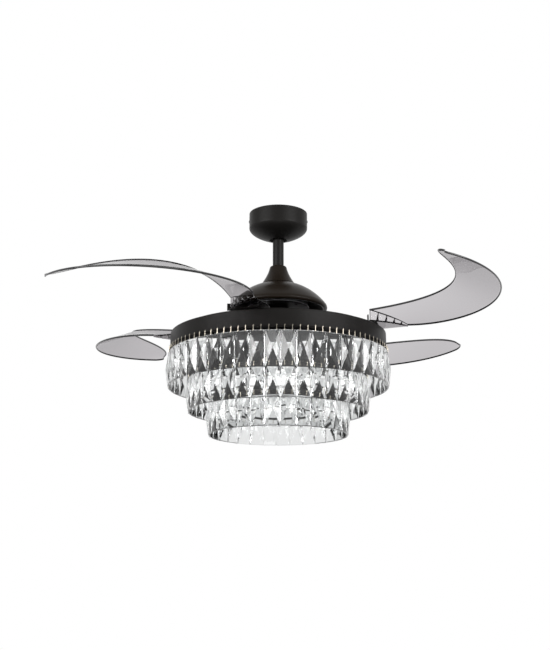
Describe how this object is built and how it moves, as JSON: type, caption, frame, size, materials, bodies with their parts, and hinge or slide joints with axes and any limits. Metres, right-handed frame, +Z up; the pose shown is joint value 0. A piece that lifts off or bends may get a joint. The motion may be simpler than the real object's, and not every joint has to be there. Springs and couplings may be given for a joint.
{
  "type": "ceiling fan with light",
  "caption": "Ceiling fan on a downrod: smoked blades fold inwards over a flat round drum, and tiers of cross-cut crystals hang round the light below it.",
  "frame": {"origin": "on the ceiling plane, on the fan's vertical axis, at the top face of the hanger bracket", "axes": "+Z up into the ceiling; X and Y horizontal, with the camera of the picture on the -Y side; the fan hangs along -Z"},
  "size_m": [1.0224, 1.0224, 0.5641],
  "materials": {
    "black_paint": "satin black-brown paint on steel",
    "bronze_paint": "semi-gloss black bronze paint on steel",
    "smoke_plastic": "clear grey smoked acrylic, polished",
    "crystal": "clear cut glass",
    "steel": "bright zinc-plated steel",
    "cast_alloy": "plain aluminium alloy",
    "copper": "enamelled copper wire",
    "ferrite": "dull dark grey",
    "opal": "opal white, satin",
    "white_board": "matt white",
    "nylon": "matt black moulding"
  },
  "bodies": {
    "ceiling_mount": {"hanger_bracket": "steel", "receiver": "nylon", "canopy": "black_paint", "canopy_screw_right": "black_paint", "canopy_screw_left": "black_paint"},
    "fan_frame": {"hanger_ball": "nylon", "ball_pin": "steel", "ball_set_screw": "steel", "downrod": "black_paint", "coupling": "cast_alloy", "coupling_pin": "steel", "coupling_set_screw": "steel", "coupling_cover": "bronze_paint", "motor_cover": "bronze_paint", "cover_nut": "steel", "motor_shaft": "steel", "upper_bearing": "steel", "lower_bearing": "steel", "stator_core": "ferrite", "stator_winding": "copper", "drum_band": "black_paint", "drum_plate": "black_paint", "led_tray": "cast_alloy", "light_nut": "steel", "led_driver": "white_board", "led_board": "white_board", "led_diffuser": "opal", "top_hook_ring": "black_paint", "top_crystals": "crystal", "middle_hook_ring": "black_paint", "middle_crystals": "crystal", "lower_hook_ring": "black_paint", "lower_crystals": "crystal"},
    "rotor": {"rotor_housing": "cast_alloy", "magnet_ring": "ferrite", "rotor_base": "black_paint", "blade_carrier": "cast_alloy", "pivot_pin_1": "steel", "return_spring_1": "steel", "guide_stud_1": "nylon", "pivot_pin_2": "steel", "return_spring_2": "steel", "guide_stud_2": "nylon", "pivot_pin_3": "steel", "return_spring_3": "steel", "guide_stud_3": "nylon", "pivot_pin_4": "steel", "return_spring_4": "steel", "guide_stud_4": "nylon"},
    "synchroniser": {"sync_ring": "steel"},
    "blade_arm_1": {"blade_bracket_1": "black_paint", "blade_1": "smoke_plastic"},
    "blade_arm_2": {"blade_bracket_2": "black_paint", "blade_2": "smoke_plastic"},
    "blade_arm_3": {"blade_bracket_3": "black_paint", "blade_3": "smoke_plastic"},
    "blade_arm_4": {"blade_bracket_4": "black_paint", "blade_4": "smoke_plastic"}
  },
  "joints": [
    {"name": "hang_tilt", "type": "hinge", "parent": "ceiling_mount", "child": "fan_frame", "pos_m": [0, 0, -0.036], "axis": [1, 0, 0], "range_deg": [-10, 10]},
    {"name": "rotor_spin", "type": "hinge", "parent": "fan_frame", "child": "rotor", "pos_m": [0, 0, -0.221], "axis": [0, 0, 1], "continuous": true},
    {"name": "blade_1_fold", "type": "hinge", "parent": "rotor", "child": "blade_arm_1", "pos_m": [0.2323, -0.03555, -0.3085], "axis": [0, 0, -1], "range_deg": [0, 97.5]},
    {"name": "blade_2_fold", "type": "hinge", "parent": "rotor", "child": "blade_arm_2", "pos_m": [0.03555, 0.2323, -0.3085], "axis": [0, 0, -1], "range_deg": [0, 97.5]},
    {"name": "blade_3_fold", "type": "hinge", "parent": "rotor", "child": "blade_arm_3", "pos_m": [-0.2323, 0.03555, -0.3085], "axis": [0, 0, -1], "range_deg": [0, 97.5]},
    {"name": "blade_4_fold", "type": "hinge", "parent": "rotor", "child": "blade_arm_4", "pos_m": [-0.03555, -0.2323, -0.3085], "axis": [0, 0, -1], "range_deg": [0, 97.5]},
    {"name": "sync_ring_turn", "type": "hinge", "parent": "rotor", "child": "synchroniser", "pos_m": [0, 0, -0.3097], "axis": [0, 0, 1], "range_deg": [0, 17.7]}
  ],
  "couplings": [
    {"joint": "blade_2_fold", "follows": "blade_1_fold", "ratio": 1},
    {"joint": "blade_3_fold", "follows": "blade_1_fold", "ratio": 1},
    {"joint": "blade_4_fold", "follows": "blade_1_fold", "ratio": 1},
    {"joint": "sync_ring_turn", "follows": "blade_1_fold", "ratio": 0.18091}
  ]
}
